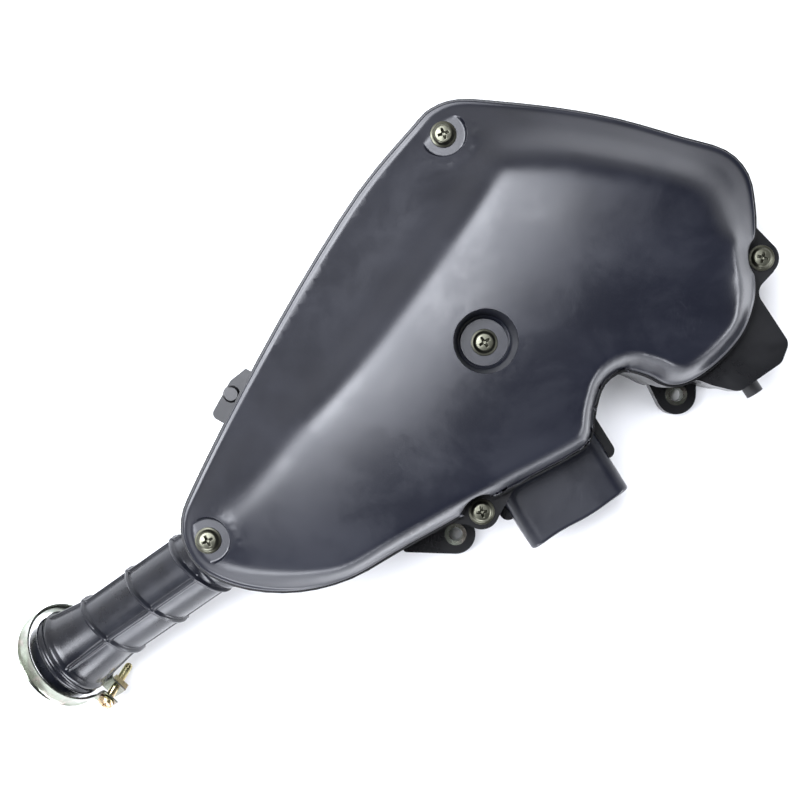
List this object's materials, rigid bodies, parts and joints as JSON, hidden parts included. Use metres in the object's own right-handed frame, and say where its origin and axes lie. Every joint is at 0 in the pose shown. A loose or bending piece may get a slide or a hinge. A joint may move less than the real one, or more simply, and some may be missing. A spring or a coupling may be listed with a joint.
{
  "type": "air filter housing",
  "caption": "Domed air filter housing with two mounting lugs, a rectangular intake snorkel and a ribbed outlet sleeve with a hose clamp.",
  "frame": {"origin": "axis of the front mounting lug's bolt hole, on the plane that both lugs bolt down on", "axes": "+Z from the lug plane towards the cover's dome, +X along the length from the outlet sleeve towards the lobe end, +Y from the snorkel side towards the top screw"},
  "size_m": [0.3608, 0.288, 0.106],
  "materials": {
    "cover_plastic": "satin moulded plastic, blue-black, lightly scratched",
    "black_plastic": "matte moulded plastic, black, fine grain",
    "seal_rubber": "soft black rubber",
    "sleeve_rubber": "stiff moulded rubber, dark blue-grey, slight sheen",
    "filter_foam": "open-cell oiled foam",
    "zinc_steel": "bright zinc plated steel",
    "yellow_zinc": "yellow zinc plated steel",
    "screw_steel": "dull olive zinc plated steel",
    "brass": "turned brass",
    "clip_plastic": "black nylon"
  },
  "bodies": {
    "root": {"middle_shell": "black_plastic", "rear_shell": "black_plastic", "shell_seal": "seal_rubber", "cover_seal": "seal_rubber", "centre_seal": "seal_rubber", "intake_snorkel": "cover_plastic", "outlet_sleeve": "sleeve_rubber", "cover_inserts": "brass", "ear_inserts": "brass", "rear_screws": "screw_steel", "lug_sleeves": "zinc_steel", "cable_clip": "clip_plastic"},
    "cover": {"front_cover": "cover_plastic"},
    "cover_screws": {"cover_screws": "screw_steel"},
    "ear_screws": {"ear_screws": "screw_steel"},
    "filter": {"filter_frame": "black_plastic", "filter_foam": "filter_foam", "filter_grid": "black_plastic"},
    "drain_cap": {"drain_cap": "seal_rubber"},
    "sleeve_end": {"sleeve_collar": "sleeve_rubber"},
    "clamp": {"clamp_band": "zinc_steel"},
    "clamp_screw": {"clamp_screw": "yellow_zinc"},
    "clamp_nut": {"clamp_nut": "yellow_zinc"}
  },
  "joints": [
    {"name": "cover_lift", "type": "slide", "parent": "root", "child": "cover", "axis": [0, 0, 1], "range_m": [0, 0.12]},
    {"name": "cover_screws_out", "type": "slide", "parent": "cover", "child": "cover_screws", "axis": [0, 0, 1], "range_m": [0, 0.022]},
    {"name": "ear_screws_out", "type": "slide", "parent": "root", "child": "ear_screws", "axis": [0, 0, 1], "range_m": [0, 0.024]},
    {"name": "filter_lift", "type": "slide", "parent": "root", "child": "filter", "axis": [0, 0, 1], "range_m": [0, 0.06]},
    {"name": "drain_cap_pull", "type": "slide", "parent": "root", "child": "drain_cap", "axis": [0.5446, -0.8387, 0], "range_m": [0, 0.012]},
    {"name": "sleeve_flex", "type": "hinge", "parent": "root", "child": "sleeve_end", "pos_m": [-0.25947, -0.10003, 0.04084], "axis": [0, 0, 1], "range_deg": [-8, 8], "stiffness_Nm_per_rad": 1.5, "deforming": ["outlet_sleeve"]},
    {"name": "clamp_turn", "type": "hinge", "parent": "sleeve_end", "child": "clamp", "pos_m": [-0.29722, -0.12647, 0.02745], "axis": [-0.7866, -0.5508, -0.279], "continuous": true},
    {"name": "clamp_screw_turn", "type": "hinge", "parent": "clamp", "child": "clamp_screw", "pos_m": [-0.27765, -0.14629, 0.02083], "axis": [-0.2958, -0.5436, 0.7855], "range_deg": [0, 1800]},
    {"name": "clamp_nut_travel", "type": "slide", "parent": "clamp", "child": "clamp_nut", "axis": [0.2958, 0.5436, -0.7855], "range_m": [0, 0.004]}
  ],
  "couplings": [
    {"joint": "filter_lift", "follows": "cover_lift", "ratio": 0.5},
    {"joint": "clamp_screw_turn", "follows": "clamp_nut_travel", "rad_per_m": 7854}
  ]
}
